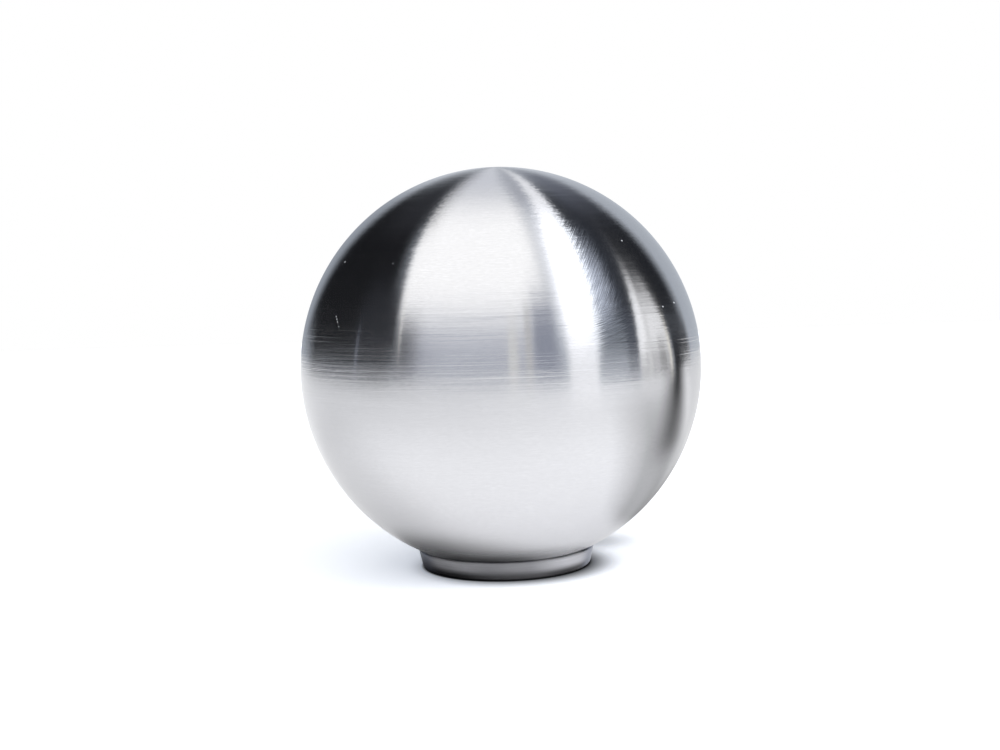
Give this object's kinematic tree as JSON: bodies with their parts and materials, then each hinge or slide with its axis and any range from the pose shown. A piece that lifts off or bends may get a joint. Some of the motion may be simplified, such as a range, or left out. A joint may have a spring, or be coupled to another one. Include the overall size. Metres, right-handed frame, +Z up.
{
  "type": "gear shift knob",
  "caption": "Ball gear shift knob turned from solid stainless steel, with a short tapered collar and a blind tapped hole for the lever.",
  "frame": {"origin": "centre of the flat seat face under the collar", "axes": "+Z up along the axis of the ball, the collar and the tapped hole; X and Y are free, because the knob is round"},
  "size_m": [0.0508, 0.0508, 0.0508],
  "materials": {
    "brushed_steel": "satin, brushed around the axis"
  },
  "bodies": {
    "root": {"knob": "brushed_steel"}
  },
  "joints": []
}
